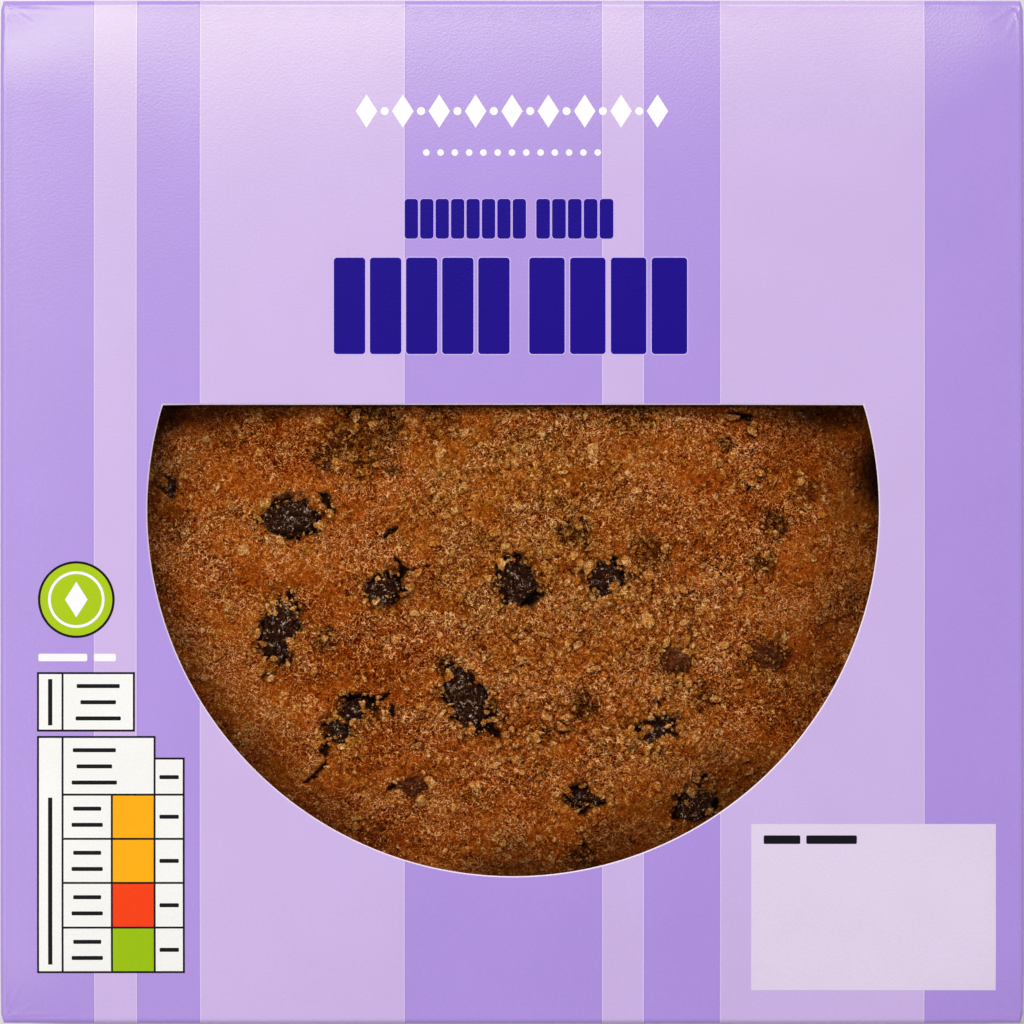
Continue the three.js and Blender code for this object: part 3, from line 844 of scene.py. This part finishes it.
def crustParts(points):  # everything about the crust over a place in the plan
    def waves(spacing, seed):
        return rolling(points, spacing * mm, seed)

    wander = np.stack([waves(3.1, 31), waves(3.1, 32)], axis=1) * 0.8 * mm
    wander += np.stack([waves(1.2, 33), waves(1.2, 34)], axis=1) * 0.35 * mm
    gold = 0.2 + 0.75 * zoneWeight(points + 4 * wander, goldenZones)
    gold = np.clip(gold + 0.35 * waves(6, 5) + 0.25 * waves(2.4, 6), 0, 1.1)
    dark = zoneWeight(points + wander, darkPatches)
    gold = np.maximum(gold, 0.95 * dark)
    ochre = 0.1 + zoneWeight(points + 4 * wander, ochreZones)
    ochre += 0.22 * waves(6, 5) + 0.25 * waves(2.4, 6)
    ochre = np.maximum(ochre, 0.45 * dark)
    split = np.zeros(len(points))
    splitDepth = np.zeros(len(points))
    ragged = 1 + 0.5 * waves(0.9, 62) + 0.3 * waves(0.5, 63)
    for line, depth in splits:
        reach = splitReach(points + 0.7 * wander, line) / ragged
        split = np.maximum(split, 1 - eased(reach, 0.8, 1.25))
        splitDepth = np.maximum(splitDepth, depth * mm * (1 - eased(reach, 0.2, 1.5)))
    toCrumb = np.min([crumbDistance(points + 0.4 * wander, crumb) for crumb in largeCrumbs], axis=0)
    moat = eased(toCrumb, -0.5 * mm, 0) * (1 - eased(toCrumb, 0.1 * mm, 0.6 * mm))
    moat *= eased(waves(1.8, 61), -0.5, 0.2)
    distances = np.array([fruitDistance(points + 1.5 * wander, fruit) for fruit in fruits])
    toFruit = distances.min(axis=0)
    shares = np.array([crust["buriedShare"] if fruit["name"] in crust["buried"] else 1 for fruit in fruits])
    bared = shares[distances.argmin(axis=0)]
    collar = bared * eased(toFruit, -1.2 * mm, -0.2 * mm) * (1 - eased(toFruit, 0.4 * mm, 2.6 * mm))
    drawnBack = bared ** 2 * eased(waves(4, 60), -0.1, 0.25)
    trench = drawnBack * eased(toFruit, -1.2 * mm, -0.3 * mm) * (1 - eased(toFruit, 0.3 * mm, 1.1 * mm))
    flake = flaked(points + 0.4 * wander, crust["flake"], 41)
    crumb = flaked(points, crust["crumb"], 45)
    rough = np.clip(0.15 + 0.8 * gold + 0.5 * collar + 0.6 * dark, 0, 1.3)
    radius = np.hypot(points[:, 0], points[:, 1])
    tone = 0.5 + 0.07 * waves(13, 14) + 0.08 * waves(4.5, 15)
    tone += 0.12 * (flake["number"] - 0.5) * rough + 0.1 * (crumb["number"] - 0.5)
    tone -= 0.02 * eased(points[:, 1], 2 * mm, 12 * mm) + 0.1 * zoneWeight(points + 2 * wander, duskyZones)
    # Painted shade in the crevices between flakes and crumbs.
    tone -= 0.24 * rough * flake["crevice"] + 0.05 * crumb["crevice"] + 0.094 - 0.03 * np.clip(gold, 0, 1)
    rim = eased(radius, crust["rimStart"], crust["rimEnd"])
    # The crust's browning by the tin, with painted shade from the board mixed into it.
    brown = np.maximum(zoneWeight(points, browningAndShadeZones), 0.75 * rim)
    # Painted shadow of the board's straight edge: a dark strip of crust just under it.
    top = board["windowTop"]
    brown = np.maximum(brown, 0.75 * eased(points[:, 1], top - 0.5 * mm, top - 0.25 * mm))
    # Painted shade in recesses: in splits, trenches, moats round large crumbs and under the edges of fruit.
    shadeUnderFruit = bared ** 2 * (1 - eased(toFruit, -0.9 * mm, 0))
    recessShade = np.clip(split + trench + 0.75 * moat + shadeUnderFruit, 0, 1)
    grainy = 0.78 + 0.4 * waves(5.5, 18) + 0.25 * waves(2.2, 19)
    return {
        "tone": tone, "gold": gold, "ochre": (ochre + 0.4 * collar) * (1 - 0.8 * brown), "dark": dark,
        "split": split, "splitDepth": splitDepth, "toFruit": toFruit, "bared": bared,
        "collar": collar, "trench": trench, "moat": moat, "flake": flake, "crumb": crumb, "rough": rough,
        "brown": brown, "shade": 1 - (1 - brown) * (1 - 0.97 * recessShade),
        "grainy": np.clip(grainy + 0.2 * np.clip(gold, 0, 1), 0.35, 1.3) * (1 - 0.5 * brown),
    }


def crustHeight(points, parts):
    radius = np.hypot(points[:, 0], points[:, 1])
    height = crust["peak"] - crust["domeDrop"] * (radius / crust["radius"]) ** crust["domePower"]
    for (rise, spacing), seed in ((crust["uneven"], 1), (crust["crags"], 2)):
        height += rise * cadNoise(points[:, 0] / spacing, points[:, 1] / spacing, seed)
    toFruit, bared, rough = parts["toFruit"], parts["bared"], parts["rough"]
    height -= crust["pitDepth"] * bared * (1 - eased(toFruit, 0, crust["pitReach"])) + parts["splitDepth"]
    height += 0.5 * mm * parts["collar"] * (0.4 + parts["flake"]["number"])
    height -= crust["trench"] * parts["trench"] + crust["moat"] * parts["moat"]
    for kind, rise, lean, gap in (("flake", 0.5, 0.55, 0.5), ("crumb", 0.2, 0.24, 0.1)):
        share = rough if kind == "flake" else 0.5 + 0.5 * rough
        facet = parts[kind]
        relief = rise * (facet["number"] - 0.5) + lean * facet["slant"] - gap * facet["crevice"]
        height += mm * share * relief
    height += 0.28 * mm * rolling(points, 3.6 * mm, 7)
    height -= 0.5 * mm * rough * eased(rolling(points, 1.7 * mm, 8), 0.3, 0.8)
    height += 0.07 * mm * rolling(points, 0.9 * mm, 9)
    hollow = 1 - eased(toFruit, -0.9 * mm, 0.05 * mm)
    return height - crust["fruitHollow"] * bared * hollow


def windowReach(points):  # how far outside the window a place is
    away = np.linalg.norm(points - board["windowMiddle"], axis=1)
    return np.maximum(away - board["windowRadius"], points[:, 1] - board["windowTop"])


def hexPoints(spacing, radius):
    rows = np.arange(-radius, radius, spacing * math.sqrt(3) / 2)
    columns = np.arange(-radius, radius, spacing)
    x, y = np.meshgrid(columns, rows)
    x = x + (np.arange(len(rows)) % 2)[:, None] * spacing / 2
    return np.stack([x, y], axis=-1).reshape(-1, 2)


def giveLook(piece, look, values):  # a number for each point, which the crust's material reads
    piece.data.attributes.new(look, "FLOAT", "POINT").data.foreach_set("value", values.astype(np.float32))


def makeCake():
    radius, shoulder = crust["radius"], crust["shoulder"]
    taper, footRadius = crust["taper"], crust["footRadius"]
    flat = radius - shoulder
    fine = hexPoints(crust["fineSpacing"], flat)
    fine += rng.uniform(-0.22, 0.22, fine.shape) * crust["fineSpacing"]
    fine = fine[(windowReach(fine) < crust["fineMargin"]) & (np.hypot(*fine.T) < flat - 0.3 * mm)]
    coarse = hexPoints(crust["coarseSpacing"], flat)
    coarse += rng.uniform(-0.2, 0.2, coarse.shape) * crust["coarseSpacing"]
    coarse = coarse[(windowReach(coarse) >= crust["fineMargin"]) & (np.hypot(*coarse.T) < flat - 0.9 * mm)]
    around, sideSteps = crust["around"], crust["sideSteps"]
    plan, topFaces = trianglesOver(np.concatenate([circle(0, 0, flat, around), fine, coarse]), [], 1e-8)
    parts = crustParts(plan)
    top = np.column_stack([plan, crustHeight(plan, parts)])
    # From the edge of the top the side goes down in rings to the foot and in under the cake.
    topEdge = crust["peak"] - crust["domeDrop"] * (flat / radius) ** crust["domePower"]
    sideTop = topEdge - shoulder
    sideFoot = crust["foot"] + footRadius

    def quarterTurn(steps):
        angles = math.pi / 2 * np.arange(1, steps + 1) / steps
        return [(math.sin(angle), 1 - math.cos(angle)) for angle in angles]

    profile = []
    for out, down in quarterTurn(crust["shoulderSteps"]):
        profile.append((flat + shoulder * out, topEdge - shoulder * down))
    for i in range(1, sideSteps + 1):
        profile.append((radius - taper * i / sideSteps, sideTop + (sideFoot - sideTop) * i / sideSteps))
    for down, inward in quarterTurn(crust["footSteps"]):
        profile.append((radius - taper - footRadius * inward, sideFoot - footRadius * down))
    turning = circle(0, 0, 1, around)
    swell = crust["rimSwell"] * cadNoise(*(crust["rimWaves"] * turning.T), 3)
    edgeRise = top[:around, 2] - topEdge
    rings = []
    for reach, height in profile:
        ring = np.column_stack([turning * (reach + swell)[:, None], np.full(around, height)])
        rough = 0.25 * mm * rolling(ring, 3 * mm, 12) + 0.15 * mm * rolling(ring, 1.2 * mm, 13)
        ring[:, :2] += turning * np.minimum(rough, 0.1 * mm)[:, None]
        ring[:, 2] += np.clip((height - sideTop) / shoulder, 0, 1) * edgeRise
        rings.append(ring)
    rings[-1][:, 2] = crust["foot"]
    index = np.arange(around)
    following = (index + 1) % around
    faces = [topFaces]
    above = index
    for i in range(len(rings)):
        below = len(top) + i * around + index
        faces.append(np.stack([above, below, below[following]], axis=1))
        faces.append(np.stack([above, below[following], above[following]], axis=1))
        above = below
    centre = len(top) + len(rings) * around
    faces.append(np.stack([above, np.full(around, centre), above[following]], axis=1))
    places = np.concatenate([top, *rings, [(0, 0, crust["foot"])]])
    piece = makePiece("bakedCake", places, np.concatenate(faces), [crustMaterial])
    sideTone = 0.46 + 0.1 * rolling(places, 9 * mm, 16) + 0.08 * rolling(places, 1.5 * mm, 17)
    for look, aside in (("tone", sideTone), ("ochre", 0.2), ("dark", 0), ("shade", 0.35), ("grainy", 0.6)):
        values = np.zeros(len(places)) + aside
        values[:len(top)] = parts[look]
        giveLook(piece, look, values)
    return piece


def curled(add, place, size, twist, ends):  # lines where a noise passes its middle value
    noise = add("TexNoise", {"Vector": place, "Scale": 1 / (size * mm), "Detail": 0.5, "Distortion": twist})
    offMiddle = add("Math", [add("Math", [noise, 0.5], operation="SUBTRACT")], operation="ABSOLUTE")
    return add("MapRange", [offMiddle, *ends])


def bakedCrust(name, stops):
    # Baked sponge crust: browned sugar and crumb, with pale curls a quarter of a millimetre wide where the
    # batter tore, pores between them painted dark as their shade, and matt but for grains of sugar that catch
    # the light.
    material, add = newMaterial(name)
    place = add("TexCoord", output="Object")
    grains = add("TexVoronoi", {"Vector": place, "Scale": 1 / (0.26 * mm)}, output="Color")
    grainTone = add("SeparateColor", [grains])
    clumps = add("TexNoise", {"Vector": place, "Scale": 1 / (1 * mm), "Detail": 3.0, "Roughness": 0.65})
    base, ochre, stain, shade, grainy = [
        add("Attribute", output="Fac", attribute_name=look)
        for look in ("tone", "ochre", "dark", "shade", "grainy")
    ]
    # Tone adds up from the place, its grain, curls, clump and pores, and the ramp gives it its colour.
    fine = add("Math", [grainTone, 0.4, -0.18], operation="MULTIPLY_ADD")
    for size, thin, rise in ((1.4, 0.03, 0.56), (0.9, 0.04, 0.46)):
        curls = curled(add, place, size, 1.1, (0.15 * thin, thin, rise, -0.12 * rise))
        fine = add("Math", [fine, curls], operation="ADD")
    fine = add("Math", [fine, grainy], operation="MULTIPLY")
    clumpPart = add("Math", [clumps, 0.2, -0.1], operation="MULTIPLY_ADD")
    pores = add("TexNoise", {"Vector": place, "Scale": 1 / (0.75 * mm), "Detail": 2.0})
    stainPart = add("MapRange", [clumps, 0.42, 0.62, 0.03, -0.42])
    stained = add("Math", [stainPart, stain], operation="MULTIPLY")
    # Painted shade in the pores.
    poreShade = add("MapRange", [pores, 0.62, 0.74, 0.0, -0.36])
    total = base
    for part in (fine, clumpPart, stained, poreShade):
        total = add("Math", [total, part], operation="ADD")
    colour = add("ValToRGB", [total], stops=stops)
    # Some bits are redder and some greener than their place, but the pale curls are much the same.
    hues = add("TexNoise", {"Vector": place, "Scale": 1 / (2.2 * mm), "Detail": 2.0})
    hue = add("Math", [hues, 1.5, -0.75], operation="MULTIPLY_ADD")
    hue = add("Math", [hue, ochre], operation="ADD")
    warmth = add("ValToRGB", [hue], stops=[(0, "#FFDCC6"), (0.5, "#FFF0D8"), (1, "#FAFFE4")])
    tinting = add("MapRange", [total, 0.5, 0.85, 1.0, 0.45])
    # Fruit that lies just under the crust greys it. Browned crust and painted shade, from the board and in
    # recesses, go nearly black.
    covers = [
        (tinting, warmth, "MULTIPLY"), (stain, toLinear("#D2ECFF"), "MULTIPLY"),
        (shade, toLinear("#160300"), "MIX"),
    ]
    for share, cover, blend in covers:
        colour = add("Mix", {"Factor": share, "A": colour, "B": cover}, data_type="RGBA", blend_type=blend)
    rough = add("MapRange", [grainTone.node.outputs[1], 0.75, 0.95, 0.8, 0.35])
    away = grains.node.outputs["Distance"]
    bump = add("Bump", {"Height": away, "Strength": 1.0, "Distance": 0.06 * mm}, invert=True)
    bump = add("Bump", {"Height": clumps, "Strength": 0.8, "Distance": 0.5 * mm, "Normal": bump})
    shader = add("BsdfPrincipled", {
        "Base Color": colour, "Roughness": rough, "IOR": 1.2, "Normal": bump,
        "Specular Tint": toLinear(sugarTint),
    })
    add("OutputMaterial", [shader])
    return material


sugarTint = "#FF9C54"  # burnt sugar colours what it mirrors
crustStops = [
    (0.02, "#3A1000"), (0.17, "#682A04"), (0.36, "#944A0A"), (0.5, "#AE681A"), (0.63, "#C07E36"),
    (0.8, "#D69F60"), (0.97, "#E8BF90"),
]
crustMaterial = bakedCrust("baked sponge crust", crustStops)
cake = makeCake()
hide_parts("cake")
print("cake is baked:", len(cake.data.polygons), "faces")


# Dried fruit

def driedFruit(name, dark, middle, light, highlightColour):
    # Dried grape: its skin shrank into folds, satin on the ridges and matt in the creases, with pale lines
    # along the fine wrinkles that are painted highlights.
    material, add = newMaterial(name)
    place = add("TexCoord", output="Object")
    skin = add("TexNoise", {"Vector": place, "Scale": 1 / (0.7 * mm), "Detail": 4.0, "Roughness": 0.7})
    wrinkles = curled(add, place, 0.85, 1.2, (0.008, 0.036, 1.0, 0.0))
    patches = add("TexNoise", {"Vector": place, "Scale": 1 / (1.1 * mm), "Detail": 2.0})
    highlightPatches = add("MapRange", [patches, 0.5, 0.62, 0.0, 1.0])
    share = add("Math", [wrinkles, highlightPatches], operation="MULTIPLY")
    tone = add("ValToRGB", [skin], stops=[(0.4, dark), (0.52, middle), (0.68, light)])
    highlighted = add("Mix", {"Factor": share, "A": tone, "B": toLinear(highlightColour)}, data_type="RGBA")
    rough = add("MapRange", [skin, 0.35, 0.7, 0.5, 0.22])
    bump = add("Bump", {"Height": skin, "Strength": 1.0, "Distance": 0.7 * mm})
    bump = add("Bump", {"Height": wrinkles, "Strength": 0.6, "Distance": 0.08 * mm, "Normal": bump})
    shader = add("BsdfPrincipled", {
        "Base Color": highlighted, "Roughness": rough, "IOR": 1.3, "Normal": bump,
        "Specular Tint": toLinear(sugarTint),
    })
    add("OutputMaterial", [shader])
    return material


# The last colour of each is that of the painted highlights along the wrinkles.
skins = {
    "raisin": driedFruit("raisin skin", "#0A0000", "#240B05", "#4E2C1A", "#ECD2B8"),
    "sultana": driedFruit("sultana skin", "#30120A", "#56260C", "#7A401C", "#C08C58"),
}


def unitBall(subdivisions):
    ball = bmesh.new()
    bmesh.ops.create_icosphere(ball, subdivisions=subdivisions, radius=1)
    places = np.array([tuple(vertex.co) for vertex in ball.verts])
    faces = np.array([[vertex.index for vertex in face.verts] for face in ball.faces])
    ball.free()
    return places, faces


def brokenOff(bits, cuts, depth):  # bits with flat sides, cut at random distances from their middles
    for _ in range(cuts):
        facing = rng.normal(size=(len(bits), 1, 3))
        facing /= np.linalg.norm(facing, axis=2, keepdims=True)
        beyond = (bits * facing).sum(axis=2, keepdims=True) - rng.uniform(*depth, (len(bits), 1, 1))
        bits = bits - np.clip(beyond, 0, None) * facing
    return bits


ballPlaces, ballFaces = unitBall(5)
for number, fruit in enumerate(fruits):
    stretched = ballPlaces * (1, 1.5, 1.5)
    folds = 1 - np.abs(rolling(stretched + number, 0.62, 50 + number))
    creases = 1 - np.abs(rolling(stretched + number, 0.3, 90 + number))
    lumps = rolling(ballPlaces + number, 0.8, 130 + number)
    pucker = rolling(ballPlaces + number, 0.14, 170 + number)
    reach = 1.08 - 0.26 * folds ** 3 - 0.12 * creases ** 3 + 0.22 * np.minimum(lumps, 0.1) + 0.04 * pucker
    local = brokenOff(ballPlaces[None] * reach[None, :, None], 7, (0.72, 0.95))[0] * fruit["half"]
    places = fruit["middle"] + np.column_stack([
        local[:, :1] * fruit["along"] + local[:, 1:2] * fruit["across"], local[:, 2],
    ])
    kind = fruit["name"].split("_")[0]
    piece = makePiece(fruit["name"].replace("_", "") + "Skin", places, ballFaces, [skins[kind]])
    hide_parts(fruit["name"])
print("fruit is wrinkled:", len(fruits))


# Crumbs

def groundAt(plan, parts):  # the crust's height, or the top of a fruit that lies there
    ground = crustHeight(plan, parts)
    for fruit in fruits:
        along, across = overFruit(plan, fruit)
        room = 1 - along ** 2 - across ** 2
        over = fruit["middle"][2] + 0.93 * fruit["half"][2] * np.sqrt(np.clip(room, 0, None))
        ground = np.where(room > 0, np.maximum(ground, over), ground)
    return ground


def turned(turn, tilt):  # turns about the upright after tilts about X, as matrices
    c, s, level = np.cos(turn), np.sin(turn), np.zeros(len(turn))
    low, high = np.cos(tilt), np.sin(tilt)
    return np.array([[c, -s * low, s * high], [s, c * low, -c * high], [level, high, low]]).transpose(2, 0, 1)


def makeCrumbs(name, plan, halfSizes, spin, kind):  # crumbs of one kind as one mesh
    shape, shapeFaces = unitBall(kind["subdivisions"])
    parts = crustParts(plan)
    count = len(plan)
    bits = brokenOff(np.repeat(shape[None], count, axis=0), kind["cuts"], (0.3, 0.75))
    apart = 7 * np.arange(count)[:, None, None]  # so that no two crumbs have the same lumps
    lumps = rolling((bits + apart).reshape(-1, 3), 0.6, 70).reshape(count, -1, 1)
    bits = bits * (1 + kind["lumpy"] * lumps) * halfSizes[:, None]
    bits = np.einsum("nij,nkj->nki", spin, bits)
    centre = np.column_stack([plan, groundAt(plan, parts) + kind["lift"] * halfSizes.min(axis=1)])
    places = (bits + centre[:, None]).reshape(-1, 3)
    faces = (shapeFaces[None] + len(shape) * np.arange(count)[:, None, None]).reshape(-1, 3)
    piece = makePiece(name, places, faces, [crumbMaterial], sharpFrom=25)
    # Crumbs take the crust's browning and painted shade where they lie.
    looks = {
        "tone": rng.uniform(*kind["tone"], count), "ochre": 0.55 + 0.45 * parts["ochre"],
        "dark": 0.3 * parts["dark"], "shade": parts["brown"], "grainy": np.full(count, kind["grainy"]),
    }
    for look, values in looks.items():
        giveLook(piece, look, np.repeat(values, len(shape)))
    print(name, count, "crumbs,", len(faces), "faces")


def scatter(name, kind):
    tries = rng.uniform(-1, 1, (kind["count"] * 14, 2)) * (board["windowRadius"] + 2 * mm)
    tries = tries[windowReach(tries) < 2 * mm]
    parts = crustParts(tries)
    chance = kind["everywhere"] + sum(weight * parts[part] for part, weight in kind["where"].items())
    onFruit = (0.5 + 0.5 * parts["bared"]) * (1 - eased(parts["toFruit"], -1.1 * mm, -0.4 * mm))
    chance *= 1 - kind["offFruit"] * onFruit
    chance *= (1 - 0.8 * parts["split"]) * (1 - 0.6 * parts["brown"])
    chosen = np.flatnonzero(rng.uniform(0, 1, len(tries)) < chance)[:kind["count"]]
    count = len(chosen)
    smallest, largest = kind["size"]
    size = smallest + (largest - smallest) * rng.uniform(0, 1, count) ** 2
    halfSizes = size[:, None] * mm * np.sort(rng.uniform(kind["slimmest"], 1, (count, 3)), axis=1)[:, ::-1]
    turn = rng.uniform(0, 2 * math.pi, count)
    makeCrumbs(name, tries[chosen], halfSizes, turned(turn, rng.normal(0, kind["tilt"], count)), kind)


crumbMaterial = bakedCrust("toasted crumb", crustStops)
crumbKinds = {
    "goldenCrumbs": {
        "count": 1500, "subdivisions": 2, "cuts": 7, "size": (0.6, 1.5), "slimmest": 0.3, "tilt": 0.45,
        "lift": 0.3, "everywhere": 0, "where": {"gold": 0.3, "collar": 0.5}, "offFruit": 1,
        "tone": (0.38, 0.66), "grainy": 0.8, "lumpy": 0.5,
    },
    "brownCrumbs": {
        "count": 6500, "subdivisions": 1, "cuts": 5, "size": (0.22, 0.6), "slimmest": 0.3, "tilt": 0.8,
        "lift": 0.4, "everywhere": 0.4, "where": {"gold": 0.3, "collar": 0.4}, "offFruit": 0.85,
        "tone": (0.36, 0.62), "grainy": 0.8, "lumpy": 0.5,
    },
    "darkCrumbs": {
        "count": 1500, "subdivisions": 1, "cuts": 5, "size": (0.25, 0.7), "slimmest": 0.3, "tilt": 0.8,
        "lift": 0.3, "everywhere": 0.04, "where": {"dark": 0.8, "collar": 0.25}, "offFruit": 0.5,
        "tone": (0.06, 0.3), "grainy": 0.5, "lumpy": 0.5,
    },
    "sugarGrains": {
        "count": 4500, "subdivisions": 1, "cuts": 4, "size": (0.08, 0.19), "slimmest": 0.4, "tilt": 1,
        "lift": 0.8, "everywhere": 1, "where": {"gold": 0.3}, "offFruit": 0.3,
        "tone": (0.55, 1.05), "grainy": 0.2, "lumpy": 0.2,
    },
}
for name, kind in crumbKinds.items():
    scatter(name, kind)

flakes = {"subdivisions": 3, "cuts": 10, "lift": 0.35, "tone": (0.42, 0.6), "grainy": 0.9, "lumpy": 0.3}
crumbTable = np.array(largeCrumbs)
flakeHalves = crumbTable[:, [2, 3, 3]] * (0.65, 0.65, 0.35) * mm
flakeSpin = turned(np.radians(crumbTable[:, 4]), np.zeros(len(crumbTable)))
makeCrumbs("toastedFlakes", crumbTable[:, :2] * mm, flakeHalves, flakeSpin, flakes)
